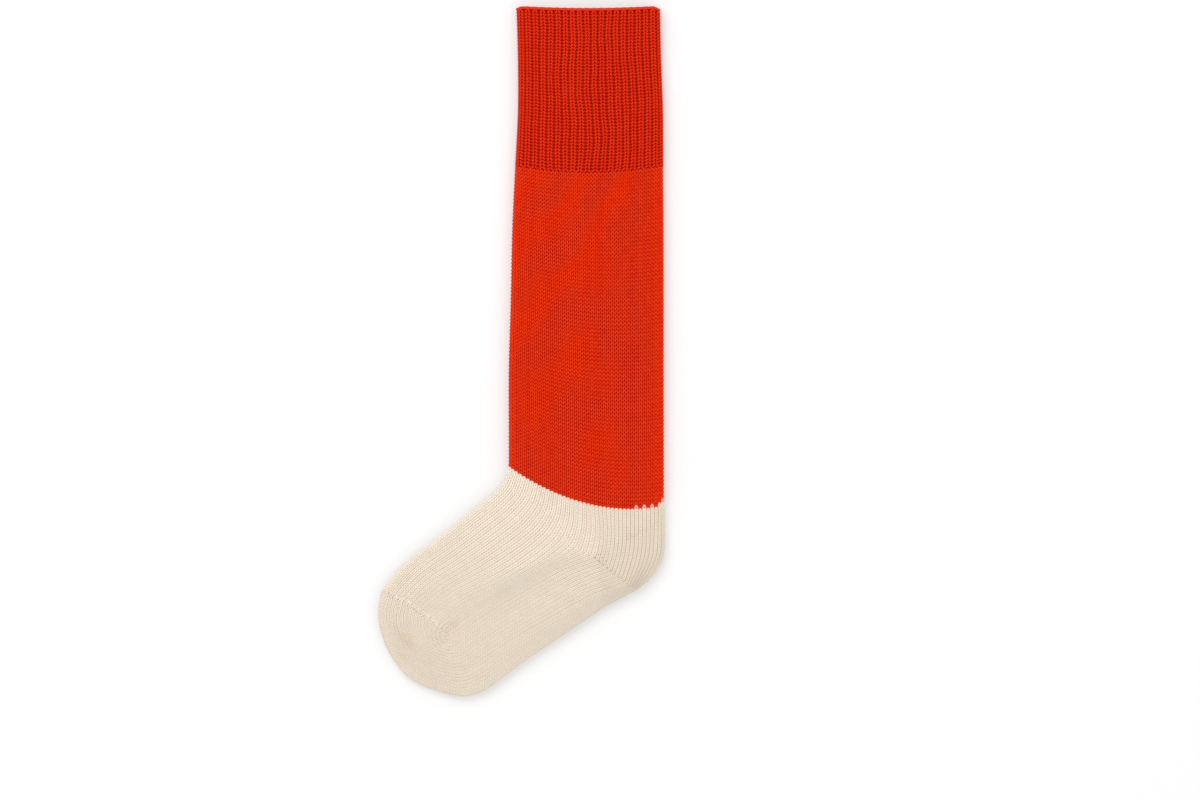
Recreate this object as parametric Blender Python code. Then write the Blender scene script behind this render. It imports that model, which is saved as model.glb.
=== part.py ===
"""Knee-length rugby sock lying flat on its side, foot to the left and heel to the right.

The knit is one hollow sheet lofted through flat oval sections. Each section is a course
line from the front edge, over the middle, to the back edge. The sheet is parted along
the knit's own borders into the cuff, the leg, the foot, the heel pocket and the toe.
+Y runs up the leg to the mouth and +Z is up, away from what the sock lies on.
"""

import math
from collections import namedtuple

import bmesh
import bpy
from mathutils import Vector

# Sizes of the sock, in metres
CUFF_LENGTH = 0.112
CUFF_WIDTH = 0.1015
LEG_LENGTH = 0.210
LEG_WIDTH = 0.109
CALF_EXTRA = 0.028
HEEL_DROP = 0.0455
HEEL_ROUND_BACK = 0.0182
HEEL_ROUND_SOLE = 0.0238
FOOT_LENGTH = 0.192
FOOT_WIDTH = 0.110
TOE_LENGTH = 0.0415
LOFT = 0.015
KNIT_WALL = 0.0022
RIB_DEPTH = 0.0011
WELT_HEIGHT = 0.0022
WELT_STEP = 0.0015
SEAM_RISE = 0.0006
PIECE_GAP = 0.0003

# Slope of the foot below level, and the number of ribs round the cuff
FOOT_ANGLE = math.radians(34.0)
RIB_COUNT = 42

# Shape of every oval section, as shares
EDGE_FULLNESS = 4.0
EDGE_HEIGHT = 0.45
REST_SHARE = 0.9
HEEL_BACK = 0.506

# How finely the sheet is divided
COLUMNS = 44
LEG_STEPS = 2
ANKLE_STEPS = 2
HEEL_STEPS = 9
FOOT_STEPS = 2
TOE_STEPS = 2
CUFF_BANDS = 3

# One rib from its left foot: place in rib widths, depth in rib depths
RibStep = namedtuple("RibStep", "place depth")
RIB_PROFILE = (
    RibStep(0.08, 0.0),
    RibStep(0.52, 0.0),
    RibStep(0.66, 1.0),
    RibStep(0.94, 1.0),
)

# Cuff: down in cuff lengths, front, back and dip in cuff widths, loft in lofts
CuffRow = namedtuple("CuffRow", "down front back dip loft")
CUFF_ROWS = (
    CuffRow(0.00, 0.484, 0.512, 0.016, 0.92),
    CuffRow(0.33, 0.474, 0.520, 0.022, 0.94),
    CuffRow(0.66, 0.474, 0.533, 0.034, 0.97),
    CuffRow(1.00, 0.493, 0.535, 0.047, 1.00),
)

# Leg: down in leg lengths, front, back and dip in leg widths, slant in calf extras
LegRow = namedtuple("LegRow", "down front back dip slant loft")
LEG_ROWS = (
    LegRow(0.21, 0.478, 0.501, 0.045, 0.03, 1.00),
    LegRow(0.45, 0.488, 0.502, 0.045, 0.12, 1.00),
    LegRow(0.68, 0.500, 0.502, 0.055, 0.33, 1.00),
    LegRow(0.88, 0.500, 0.503, 0.085, 0.72, 1.01),
    LegRow(1.00, 0.500, 0.503, 0.110, 1.00, 1.02),
)

# Ankle: along in foot bodies, across in foot widths, rise up the heel in heel drops
AnkleRow = namedtuple(
    "AnkleRow", "front_along front_across middle_along middle_across back_rise loft kink"
)
ANKLE_ROWS = (
    AnkleRow(0.414, 1.043, 0.181, 0.482, 0.923, 1.04, 0.5),
    AnkleRow(0.532, 1.021, 0.232, 0.322, 0.846, 1.06, 1.0),
)

# Where the heel pocket ends on the sole: along in foot bodies, across in foot widths
SOLE_START = (0.327, 0.026)

# Foot: along in foot bodies, across in foot widths
FootRow = namedtuple(
    "FootRow",
    "front_along front_across middle_along middle_across back_along back_across loft kink",
)
FOOT_ROWS = (
    FootRow(0.684, 1.002, 0.479, 0.497, 0.484, 0.024, 1.03, 0.4),
    FootRow(0.835, 0.986, 0.684, 0.497, 0.642, 0.024, 1.00, 0.0),
    FootRow(0.986, 0.971, 0.856, 0.497, 0.800, 0.022, 0.98, 0.1),
)

# Toe: short of the tip in toe lengths, across in foot widths, lift in lofts
ToeRow = namedtuple(
    "ToeRow",
    "front_short front_across middle_short middle_across back_short back_across loft lift kink",
)
TOE_ROWS = (
    ToeRow(0.508, 0.913, 1.000, 0.493, 1.144, 0.008, 0.97, 0.00, 0.5),
    ToeRow(0.373, 0.866, 0.763, 0.459, 0.881, 0.017, 0.94, 0.01, 0.3),
    ToeRow(0.237, 0.809, 0.525, 0.446, 0.627, 0.057, 0.87, 0.03, 0.1),
    ToeRow(0.127, 0.736, 0.305, 0.440, 0.424, 0.131, 0.76, 0.07, 0.0),
    ToeRow(0.051, 0.643, 0.119, 0.436, 0.220, 0.229, 0.60, 0.12, 0.0),
    ToeRow(0.012, 0.573, 0.025, 0.440, 0.093, 0.306, 0.42, 0.18, 0.0),
    ToeRow(0.000, 0.497, 0.000, 0.446, 0.017, 0.382, 0.22, 0.24, 0.0),
)

# Dents in the upper face of the toe: place as in the toe rows, radius in toe lengths,
# depth in knit walls
ToeDent = namedtuple("ToeDent", "short across radius depth")
TOE_DENTS = (
    ToeDent(1.06, 0.485, 0.15, 0.65),
    ToeDent(0.34, 0.557, 0.17, 0.50),
)

# Colours and finish
RED_YARN = (0.753, 0.026, 0.006, 1.0)
RIB_RED_YARN = (0.630, 0.019, 0.005, 1.0)
CREAM_YARN = (0.787, 0.680, 0.550, 1.0)
YARN_ROUGHNESS = 0.9

Section = namedtuple("Section", "front middle back loft lift kink")
FOOT_BODY = FOOT_LENGTH - TOE_LENGTH
QUARTER = COLUMNS // 4
UNDER_QUARTER = COLUMNS - QUARTER
MOUTH_ROW = ("cuff", 0)
SEAM_ROW = ("seam", 0)
HEEL_CORNER = Vector(
    (HEEL_BACK * LEG_WIDTH, -CUFF_LENGTH - LEG_LENGTH - CALF_EXTRA - HEEL_DROP)
)
ALONG = Vector((-math.cos(FOOT_ANGLE), -math.sin(FOOT_ANGLE)))
ACROSS = Vector((-math.sin(FOOT_ANGLE), math.cos(FOOT_ANGLE)))


def clear_scene():
    """Remove every object that the file opened with."""
    for thing in list(bpy.data.objects):
        bpy.data.objects.remove(thing, do_unlink=True)


def foot_point(along, across):
    """Plan point on the foot: along the sole from the heel corner, and across it."""
    return HEEL_CORNER + ALONG * along + ACROSS * across


def toe_point(short, across):
    """Plan point on the toe: how far short of the tip, and across the foot."""
    return foot_point(FOOT_LENGTH - short * TOE_LENGTH, across * FOOT_WIDTH)


def cuff_section(row):
    """Course line of the cuff."""
    y = -row.down * CUFF_LENGTH
    front = Vector((-row.front * CUFF_WIDTH, y))
    back = Vector((row.back * CUFF_WIDTH, y))
    middle = (front + back) / 2 - Vector((0, row.dip * CUFF_WIDTH))
    return Section(front, middle, back, row.loft, 0.0, 0.0)


def leg_section(row):
    """Course line of the leg, which slants more and more towards the ankle."""
    y = -CUFF_LENGTH - row.down * LEG_LENGTH
    front = Vector((-row.front * LEG_WIDTH, y))
    back = Vector((row.back * LEG_WIDTH, y - row.slant * CALF_EXTRA))
    middle = (front + back) / 2 - Vector((0, row.dip * LEG_WIDTH))
    return Section(front, middle, back, row.loft, 0.0, 0.0)


def ankle_section(row):
    """Course line round the ankle, from the instep to the back of the heel."""
    front = foot_point(row.front_along * FOOT_BODY, row.front_across * FOOT_WIDTH)
    middle = foot_point(row.middle_along * FOOT_BODY, row.middle_across * FOOT_WIDTH)
    back = HEEL_CORNER + Vector((0, row.back_rise * HEEL_DROP))
    return Section(front, middle, back, row.loft, 0.0, row.kink)


def foot_section(row):
    """Course line of the foot, from the instep to the sole."""
    front = foot_point(row.front_along * FOOT_BODY, row.front_across * FOOT_WIDTH)
    middle = foot_point(row.middle_along * FOOT_BODY, row.middle_across * FOOT_WIDTH)
    back = foot_point(row.back_along * FOOT_BODY, row.back_across * FOOT_WIDTH)
    return Section(front, middle, back, row.loft, 0.0, row.kink)


def toe_section(row):
    """Course line of the toe."""
    front = toe_point(row.front_short, row.front_across)
    middle = toe_point(row.middle_short, row.middle_across)
    back = toe_point(row.back_short, row.back_across)
    return Section(front, middle, back, row.loft, row.lift, row.kink)


def smooth_value(before, start, end, after, share):
    """Catmull-Rom value between start and end, for numbers and for vectors."""
    slope_in = (end - before) / 2
    slope_out = (after - start) / 2
    cube = share ** 3
    square = share ** 2
    return (
        start * (2 * cube - 3 * square + 1)
        + slope_in * (cube - 2 * square + share)
        + end * (3 * square - 2 * cube)
        + slope_out * (cube - square)
    )


def section_at(sections, place):
    """Section at a place counted in sections, smooth through all of them."""
    last = len(sections) - 1
    index = min(int(place), last - 1)
    share = place - index
    near = [sections[min(max(index + step, 0), last)] for step in (-1, 0, 1, 2)]
    return Section(*(smooth_value(*values, share) for values in zip(*near)))


def divided(sections, steps):
    """Sections with the stretches between them divided into steps."""
    count = (len(sections) - 1) * steps
    return [section_at(sections, number / steps) for number in range(count + 1)]


def course_point(section, share):
    """Plan point on a course line, from the front edge at 0 to the back edge at 1."""
    front, middle, back = section.front, section.middle, section.back
    if share <= 0.5:
        bent = front.lerp(middle, share * 2)
    else:
        bent = middle.lerp(back, share * 2 - 1)
    control = middle * 2 - (front + back) / 2
    bow = front * (1 - share) ** 2 + control * 2 * share * (1 - share) + back * share ** 2
    return bow.lerp(bent, section.kink)


def dent_depth(plan):
    """How far the upper face of the toe is pressed in at a plan point."""
    depth = 0.0
    for dent in TOE_DENTS:
        reach = dent.radius * TOE_LENGTH
        away = (plan - toe_point(dent.short, dent.across)).length / reach
        depth += dent.depth * KNIT_WALL * math.exp(-away * away)
    return depth


def ring_point(section, angle):
    """Point of the sheet: angle 0 is the front edge, a quarter turn is the upper face."""
    share = (1 - math.cos(angle)) / 2
    plan = course_point(section, share)
    fullness = (1 - abs(math.cos(angle)) ** EDGE_FULLNESS) ** (1 / EDGE_FULLNESS)
    height = section.loft * LOFT
    edge = EDGE_HEIGHT * height
    if math.sin(angle) >= 0:
        z = edge + (height - edge) * fullness - dent_depth(plan) * fullness
    else:
        z = edge - edge * min(1.0, fullness / REST_SHARE)
    return Vector((plan.x, plan.y, z + section.lift * LOFT))


def column_angle(column):
    """Angle of a column of the sheet."""
    return 2 * math.pi * column / COLUMNS


def sole_start():
    """Plan point where the heel pocket ends on the sole."""
    along, across = SOLE_START
    return foot_point(along * FOOT_BODY, across * FOOT_WIDTH)


def heel_edge(share):
    """Plan point on the heel's outer edge, from the back of the leg to the sole."""
    top = HEEL_CORNER + Vector((0, ANKLE_ROWS[-1].back_rise * HEEL_DROP))
    bend_in = HEEL_CORNER + Vector((0, HEEL_ROUND_BACK))
    bend_out = foot_point(HEEL_ROUND_SOLE, 0.0)
    line = [top]
    for number in range(HEEL_STEPS + 1):
        turn = number / HEEL_STEPS
        arc = bend_in.lerp(HEEL_CORNER, turn).lerp(HEEL_CORNER.lerp(bend_out, turn), turn)
        line.append(arc)
    line.append(sole_start())
    lengths = [(b - a).length for a, b in zip(line, line[1:])]
    left = share * sum(lengths)
    for start, finish, length in zip(line, line[1:], lengths):
        if left <= length:
            return start.lerp(finish, left / length)
        left -= length
    return line[-1]


class Sheet:
    """Points of the knit's outer face by key, and its cells by piece."""

    def __init__(self):
        self.points = {}
        self.cells = []

    def add_row(self, name, section, columns, shared=None):
        """Make a row of points and return its keys by column, some shared."""
        keys = dict(shared or {})
        for column in columns:
            if column in keys:
                continue
            keys[column] = (name, column)
            self.points[keys[column]] = ring_point(section, column_angle(column))
        return keys

    def join_rows(self, piece, upper, lower, columns):
        """Fill the cells between two rows."""
        for column in columns:
            beside = (column + 1) % COLUMNS
            corners = [upper[column], lower[column], lower[beside], upper[beside]]
            kept = [key for spot, key in enumerate(corners) if key != corners[spot - 1]]
            if len(kept) > 2:
                self.cells.append((piece, kept))

    def close_tip(self, piece, row):
        """Join the upper and under halves of the last row."""
        for column in range(COLUMNS // 2):
            beside = column + 1
            corners = [
                row[column],
                row[(COLUMNS - column) % COLUMNS],
                row[COLUMNS - beside],
                row[beside],
            ]
            kept = [key for spot, key in enumerate(corners) if key != corners[spot - 1]]
            self.cells.append((piece, kept))

    def normals(self):
        """Outward normal at each point, averaged over the cells that meet there."""
        sums = {key: Vector((0, 0, 0)) for key in self.points}
        for _, keys in self.cells:
            corner = [self.points[key] for key in keys]
            face = (corner[2] - corner[0]).cross(corner[-1] - corner[1])
            for key in keys:
                sums[key] += face
        return {key: total.normalized() for key, total in sums.items()}


def border_steps(cells):
    """Edges that belong to one cell only, each from its first key to its second."""
    edges = {}
    for keys in cells:
        for start, end in zip(keys, keys[1:] + keys[:1]):
            edges[(start, end)] = True
    return [edge for edge in edges if (edge[1], edge[0]) not in edges]


def rim_shifts(sheet, normals, border, free_row):
    """How far each border point draws back into its piece to leave the gap."""
    following = dict(border)
    leading = {end: start for start, end in border}
    shifts = {}
    for key, ahead in following.items():
        if key[0] == free_row:
            continue
        here = sheet.points[key]
        step_in = (here - sheet.points[leading[key]]).normalized()
        step_out = (sheet.points[ahead] - here).normalized()
        mean = (step_in + step_out).normalized()
        inward = normals[key].cross(mean).normalized()
        miter = max(step_out.dot(mean), 0.5)
        shifts[key] = inward * (PIECE_GAP / 2 / miter)
    return shifts


def make_piece(name, sheet, normals, material, free_row=None, relief=None):
    """Turn the cells of one piece into a closed wall of knit."""
    cells = [keys for piece, keys in sheet.cells if piece == name]
    border = border_steps(cells)
    shifts = rim_shifts(sheet, normals, border, free_row)
    build = bmesh.new()
    outer = {}
    inner = {}
    for key in {key for keys in cells for key in keys}:
        place = sheet.points[key] + shifts.get(key, Vector((0, 0, 0)))
        if relief:
            place = place + normals[key] * relief(key)
        outer[key] = place
        inner[key] = place - normals[key] * KNIT_WALL
    order = sorted(outer)
    outer = {key: build.verts.new(outer[key]) for key in order}
    inner = {key: build.verts.new(inner[key]) for key in order}
    for keys in cells:
        build.faces.new([outer[key] for key in keys])
        build.faces.new([inner[key] for key in reversed(keys)])
    for start, end in border:
        build.faces.new([outer[end], outer[start], inner[start], inner[end]])
    bmesh.ops.triangulate(build, faces=build.faces[:])
    bmesh.ops.recalc_face_normals(build, faces=build.faces[:])
    mesh = bpy.data.meshes.new(name)
    build.to_mesh(mesh)
    build.free()
    mesh.shade_smooth()
    mesh.set_sharp_from_angle(angle=math.radians(50))
    mesh.materials.append(material)
    piece = bpy.data.objects.new(name, mesh)
    bpy.context.scene.collection.objects.link(piece)
    return piece


def yarn(name, colour):
    """Matt knitted yarn of one colour."""
    material = bpy.data.materials.new(name)
    material.use_nodes = True
    shader = material.node_tree.nodes["Principled BSDF"]
    shader.inputs["Base Color"].default_value = colour
    shader.inputs["Roughness"].default_value = YARN_ROUGHNESS
    shader.inputs["Metallic"].default_value = 0.0
    return material


def lower_sheet(cuff_sections):
    """Leg, foot, heel pocket and toe as one sheet."""
    sheet = Sheet()
    every = range(COLUMNS)
    back = range(QUARTER, UNDER_QUARTER)
    leg_line = [cuff_sections[-1]] + [leg_section(row) for row in LEG_ROWS]
    ankle_line = leg_line[-1:] + [ankle_section(row) for row in ANKLE_ROWS]
    toe_line = [toe_section(row) for row in TOE_ROWS]
    start = ankle_line[-1]
    finish = start._replace(back=sole_start())
    foot_line = [finish] + [foot_section(row) for row in FOOT_ROWS] + toe_line[:1]

    def run(piece, upper, sections, name):
        for number, section in enumerate(sections):
            lower = sheet.add_row((name, number), section, every)
            sheet.join_rows(piece, upper, lower, every)
            upper = lower
        return upper

    legs = divided(leg_line, LEG_STEPS)
    row = sheet.add_row(("leg", -1), legs[0], every)
    row = run("leg", row, legs[1:], "leg")
    gore = run("foot", row, divided(ankle_line, ANKLE_STEPS)[1:], "ankle")

    upper = gore
    ends = {column: gore[column] for column in (QUARTER, UNDER_QUARTER)}
    for number in range(1, HEEL_STEPS):
        fan = start._replace(back=heel_edge(number / HEEL_STEPS))
        lower = sheet.add_row(("heel", number), fan, range(QUARTER, UNDER_QUARTER + 1), ends)
        sheet.join_rows("heel", upper, lower, back)
        upper = lower
    front = {
        column: gore[column]
        for column in every
        if column <= QUARTER or column >= UNDER_QUARTER
    }
    row = sheet.add_row(("sole", 0), finish, every, front)
    sheet.join_rows("heel", upper, row, back)

    row = run("foot", row, divided(foot_line, FOOT_STEPS)[1:-1], "foot")
    seam = sheet.add_row(SEAM_ROW, toe_line[0], every)
    sheet.join_rows("foot", row, seam, every)
    row = run("toe", seam, divided(toe_line, TOE_STEPS)[1:], "toe")
    sheet.close_tip("toe", row)
    return sheet


def seam_relief(key):
    """Raised toe seam, which runs over the instep half of the toe's border."""
    on_instep = key[1] <= QUARTER
    return SEAM_RISE if key[0] == SEAM_ROW and on_instep else 0.0


def even_angles(section, shares):
    """Angles that stand at the given shares of a section's length round."""
    fine = 720
    points = [ring_point(section, 2 * math.pi * step / fine) for step in range(fine + 1)]
    sums = [0.0]
    for start, end in zip(points, points[1:]):
        sums.append(sums[-1] + (end - start).length)
    angles = []
    spot = 0
    for share in shares:
        wanted = share * sums[-1]
        while sums[spot + 1] < wanted:
            spot += 1
        part = (wanted - sums[spot]) / (sums[spot + 1] - sums[spot])
        angles.append(2 * math.pi * (spot + part) / fine)
    return angles


def cuff_sheet(sections):
    """Ribbed cuff as a sheet of its own, and the depth of each of its points."""
    sheet = Sheet()
    depths = {}
    shares = []
    steps = []
    for rib in range(RIB_COUNT):
        for step in RIB_PROFILE:
            shares.append((rib + step.place) / RIB_COUNT)
            steps.append(step.depth)
    welt = WELT_HEIGHT / CUFF_LENGTH
    ribs_from = (WELT_HEIGHT + WELT_STEP) / CUFF_LENGTH
    downs = [0.0, welt]
    downs += [ribs_from + (1 - ribs_from) * band / CUFF_BANDS for band in range(CUFF_BANDS + 1)]
    rows = []
    for number, down in enumerate(downs):
        section = section_at(sections, down * (len(sections) - 1))
        name = ("cuff", number)
        row = []
        for column, angle in enumerate(even_angles(section, shares)):
            key = (name, column)
            sheet.points[key] = ring_point(section, angle)
            depths[key] = -RIB_DEPTH * steps[column] if down > welt else 0.0
            row.append(key)
        rows.append(row)
    for upper, lower in zip(rows, rows[1:]):
        for column in range(len(shares)):
            beside = (column + 1) % len(shares)
            corners = [upper[column], lower[column], lower[beside], upper[beside]]
            sheet.cells.append(("ribbed_cuff", corners))
    return sheet, depths


def centre_on_origin(pieces):
    """Move the sock so that its box stands on the origin, centred."""
    places = [vertex.co for piece in pieces for vertex in piece.data.vertices]
    low = Vector([min(place[axis] for place in places) for axis in range(3)])
    high = Vector([max(place[axis] for place in places) for axis in range(3)])
    shift = Vector((-(low.x + high.x) / 2, -(low.y + high.y) / 2, -low.z))
    for piece in pieces:
        for vertex in piece.data.vertices:
            vertex.co += shift


def main():
    """Build the five pieces of the sock."""
    clear_scene()
    red = yarn("red_yarn", RED_YARN)
    rib_red = yarn("rib_red_yarn", RIB_RED_YARN)
    cream = yarn("cream_yarn", CREAM_YARN)
    cuff_sections = [cuff_section(row) for row in CUFF_ROWS]
    cuff, depths = cuff_sheet(cuff_sections)
    lower = lower_sheet(cuff_sections)
    cuff_normals = cuff.normals()
    lower_normals = lower.normals()
    pieces = [
        make_piece("ribbed_cuff", cuff, cuff_normals, rib_red, MOUTH_ROW, depths.get),
        make_piece("leg", lower, lower_normals, red),
        make_piece("foot", lower, lower_normals, cream, None, seam_relief),
        make_piece("heel", lower, lower_normals, cream),
        make_piece("toe", lower, lower_normals, cream, None, seam_relief),
    ]
    centre_on_origin(pieces)


main()
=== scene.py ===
"""Knitted rugby sock lying flat: every stitch of its outer face is a loop of yarn."""

import math
from collections import namedtuple

import bmesh
import bpy
import numpy as np
from bpy.props import FloatProperty, FloatVectorProperty, IntProperty, PointerProperty
from mathutils import Matrix, Vector


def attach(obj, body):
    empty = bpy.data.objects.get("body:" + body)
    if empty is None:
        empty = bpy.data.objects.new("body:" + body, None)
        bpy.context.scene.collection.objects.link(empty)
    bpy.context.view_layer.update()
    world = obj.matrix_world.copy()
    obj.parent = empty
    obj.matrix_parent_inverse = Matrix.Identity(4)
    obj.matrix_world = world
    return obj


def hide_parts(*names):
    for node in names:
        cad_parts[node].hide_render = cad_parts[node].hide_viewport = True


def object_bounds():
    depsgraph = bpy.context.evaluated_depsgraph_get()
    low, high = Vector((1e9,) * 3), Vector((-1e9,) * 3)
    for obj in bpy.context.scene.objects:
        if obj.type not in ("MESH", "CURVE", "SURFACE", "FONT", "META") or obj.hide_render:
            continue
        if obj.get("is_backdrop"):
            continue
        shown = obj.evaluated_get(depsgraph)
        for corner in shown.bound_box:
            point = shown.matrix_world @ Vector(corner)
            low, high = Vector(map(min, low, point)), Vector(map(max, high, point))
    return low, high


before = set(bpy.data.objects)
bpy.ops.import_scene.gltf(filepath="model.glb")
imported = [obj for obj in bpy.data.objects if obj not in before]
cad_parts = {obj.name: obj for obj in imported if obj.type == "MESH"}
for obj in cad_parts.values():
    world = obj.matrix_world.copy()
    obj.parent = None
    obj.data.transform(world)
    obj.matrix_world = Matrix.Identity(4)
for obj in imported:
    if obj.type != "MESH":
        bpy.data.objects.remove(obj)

bl_info = {
    "name": "Knitted Rugby Sock",
    "version": (1, 0, 0),
    "blender": (4, 5, 0),
    "location": "View3D > Sidebar > Sock",
    "description": "Dresses the flat solids of a rugby sock in stitches of yarn",
    "category": "Object",
}


def table(columns, *rows):
    """Rows with named columns."""
    row_type = namedtuple("Row", columns)
    return tuple(row_type(*row) for row in rows)


# Sections of the sock, as shares of its sizes: the same rows as in the solids
CUFF_ROWS = table(
    "down front back dip",
    (0.00, 0.484, 0.512, 0.016),
    (0.33, 0.474, 0.520, 0.022),
    (0.66, 0.474, 0.533, 0.034),
    (1.00, 0.493, 0.535, 0.047),
)
LEG_ROWS = table(
    "down front back dip slant",
    (0.21, 0.478, 0.501, 0.045, 0.03),
    (0.45, 0.488, 0.502, 0.045, 0.12),
    (0.68, 0.500, 0.502, 0.055, 0.33),
    (0.88, 0.500, 0.503, 0.085, 0.72),
    (1.00, 0.500, 0.503, 0.110, 1.00),
)
ANKLE_ROWS = table(
    "front_along front_across back_rise",
    (0.414, 1.043, 0.923),
    (0.532, 1.021, 0.846),
)
SOLE_START = (0.327, 0.026)
FOOT_ROWS = table(
    "front_along front_across back_along back_across",
    (0.684, 1.002, 0.484, 0.024),
    (0.835, 0.986, 0.642, 0.024),
    (0.986, 0.971, 0.800, 0.022),
)
TOE_ROWS = table(
    "front_short front_across back_short back_across",
    (0.508, 0.913, 1.144, 0.008),
    (0.373, 0.866, 0.881, 0.017),
    (0.237, 0.809, 0.627, 0.057),
    (0.127, 0.736, 0.424, 0.131),
    (0.051, 0.643, 0.220, 0.229),
    (0.012, 0.573, 0.093, 0.306),
    (0.000, 0.497, 0.017, 0.382),
)
HEEL_BACK = 0.506

# Share of the loft at places down the cuff, and at toe lengths short of the tip
CUFF_LOFT = table("place share", (0.0, 0.92), (1.0, 1.0))
TOE_LOFT = table("place share", (0.0, 0.78), (0.4, 0.88), (1.1, 0.97), (2.5, 1.0))

# Dents (and, below nought, humps) of the toe's upper face: place on the toe, radius
# in toe lengths, how much longer than wide, way of the long axis, depth in metres
TOE_DENTS = table(
    "short across radius stretch turn depth",
    (1.02, 0.456, 0.040, 2.0, -52.0, 0.0005),
    (1.16, 0.463, 0.120, 1.3, -40.0, 0.0014),
    (0.345, 0.552, 0.085, 2.4, -52.0, 0.0013),
    (0.340, 0.560, 0.200, 1.4, -52.0, 0.0010),
    (0.17, 0.470, 0.110, 1.6, -30.0, 0.0007),
    (0.86, 0.500, 0.140, 1.3, -52.0, -0.0010),
    (0.58, 0.520, 0.120, 1.8, -52.0, -0.0006),
)
# How much darker the yarn is for each metre of a dent's depth
HOLLOW_SHADE = 1260.0

# Ripples round the end of the toe seam, in metres
RIPPLE_CENTRE = (-0.0480, -0.1975)
RIPPLE_WAVE = 0.0029
RIPPLE_HEIGHT = 0.00020
RIPPLE_REACH = 0.0100
RIPPLE_SPREAD = 0.0055
RIPPLE_WAY = math.radians(-178.0)

# Path of the raised toe seam on the upper face, in metres
SEAM_PATH = table(
    "x y",
    (-0.0976, -0.1662),
    (-0.0934, -0.1686),
    (-0.0848, -0.1734),
    (-0.0763, -0.1774),
    (-0.0696, -0.1819),
    (-0.0636, -0.1866),
    (-0.0560, -0.1924),
)
SEAM_BARS = 25
SEAM_BAR_LENGTH = 0.0033
SEAM_RISE = 0.00015
SEAM_SINK_BELOW = 0.0009
SEAM_SWELL = 0.00035
SEAM_SPREAD = 0.0015

# Eyelets along the gore line: start beside the apex, how many and radius, in metres
EYELET_ROWS = table(
    "x y count radius",
    (-0.0002, -0.0003, 8, 0.00046),
    (0.0019, 0.0022, 4, 0.00034),
)
EYELET_STEP = 0.1275
EYELET_SINK = 0.00024
EYELET_FLATNESS = 0.45
EYELET_TAPER = 0.5

# Corners of the knit on the heel and foot, in metres on the floor
KnitCorner = namedtuple("KnitCorner", "x y wale")
APEX = KnitCorner(0.0520, -0.1442, 24.0)
GORE_END = KnitCorner(0.0732, -0.1618, 33.4)
SOLE_CORNER = KnitCorner(0.0799, -0.1665, 42.0)
SEAM_FRONT = KnitCorner(-0.0976, -0.1662, 0.0)
SEAM_KNOT = KnitCorner(-0.0535, -0.1945, 21.0)
POUCH_BACK = KnitCorner(-0.0206, -0.2344, 42.0)

# How far the mouth's corners are rounded off, over which share of the width, how much
# more at the back, and how soon that fades down the cuff
MOUTH_ROUND = 0.0016
MOUTH_EDGE = 0.028
MOUTH_BACK = 1.4
MOUTH_FADE = 0.06

# Sideways drift of the wales, as a share of the width
CUFF_DRIFT = 0.008
LEG_DRIFT = 0.004

# Share of the instep from which the wales part towards the gore line, their slope as
# they leave it, how they crowd beyond it, and how closely they bend across it
PART_FROM = 0.62
GORE_SLOPE = math.radians(17.0)
EDGE_CROWD = 2.0
BEND_SHARE = 0.85
ANKLE_WEIGHT = 1.2

# Lean of the heel's wales at the gore line and beyond it, and how closely only
# the last wales follow the rounded heel
HEEL_LEAN = math.radians(22.0)
CORNER_LEAN = math.radians(46.0)
HEEL_HUG = 6.0

# How much narrower the stitches of the heel and of the ankle above it are, and from
# which wale to which they become so
SLIM_STITCH = 0.14
SLIM_FROM = 20
SLIM_AT = 31

# Wales of each face, and the shape of the rounded edges
FACE_WALES = 42
HALF_TUBE = 0.054
EDGE_POWER = 4.0
EDGE_SHARE = 0.45
EDGE_SLACK = 0.00001
REST_SHARE = 0.9
EVEN = 400
OUTLINE_STEP = 0.0006

# Strands of one loop, in wales: across, along the knitting and up from the cloth
Strand = namedtuple("Strand", "start middle end")
BAR_STRANDS = (Strand((-0.62, 0.05, -0.34), (0.0, -0.14, 0.08), (0.62, 0.05, -0.34)),)
SEAM_STRANDS = (Strand((-0.50, 0.34, -0.75), (0.0, 0.0, 0.75), (0.50, -0.34, -0.75)),)


def pair(start, middle, end):
    """Right strand of a loop and its mirror image."""
    return tuple(
        Strand(*((way * across, along, up) for across, along, up in (start, middle, end)))
        for way in (1, -1)
    )


LEG_STRANDS = pair((0.08, -0.62, -0.56), (0.26, 0.0, -0.02), (0.40, 0.62, -0.58))
FOOT_STRANDS = pair((0.10, -0.66, -0.46), (0.24, 0.0, -0.02), (0.36, 0.66, -0.50))
RIB_STRANDS = pair((0.07, -0.60, -0.36), (0.27, 0.0, -0.02), (0.40, 0.60, -0.40))

# Steps of a strand's curve before it is brought down to a few points, and how thick
# its ends are
CURVE_STEPS = 16
STRAND_POINTS = 3
STRAND_END = 0.72

# Width of the ribs' and channels' stitches, in wales, and the channels: half the width
# of a rib, the width of its flank, and how soon below the welt they are at their depth
RIB_WIDTH = 1.66
BAR_WIDTH = 0.7
RIB_HALF = 0.55
RIB_FLANK = 0.2
CHANNEL_START = 0.035
GROUND_START = 0.008

# Cloth under the stitches: how deep it lies and how thick it is, in metres
Ground = namedtuple("Ground", "sink wall")
PLAIN_GROUND = Ground(0.0011, 0.0010)
RIB_GROUND = Ground(0.0009, 0.0006)

# Welt: its place down the cuff, and its half sizes with the scallops on them, in metres
WELT_DOWN = 0.011
WELT_FLAT = 0.00085
WELT_FLAT_SCALLOP = 0.00012
WELT_TALL = 0.00105
WELT_TALL_SCALLOP = 0.00010
WELT_STEPS = 8

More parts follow.
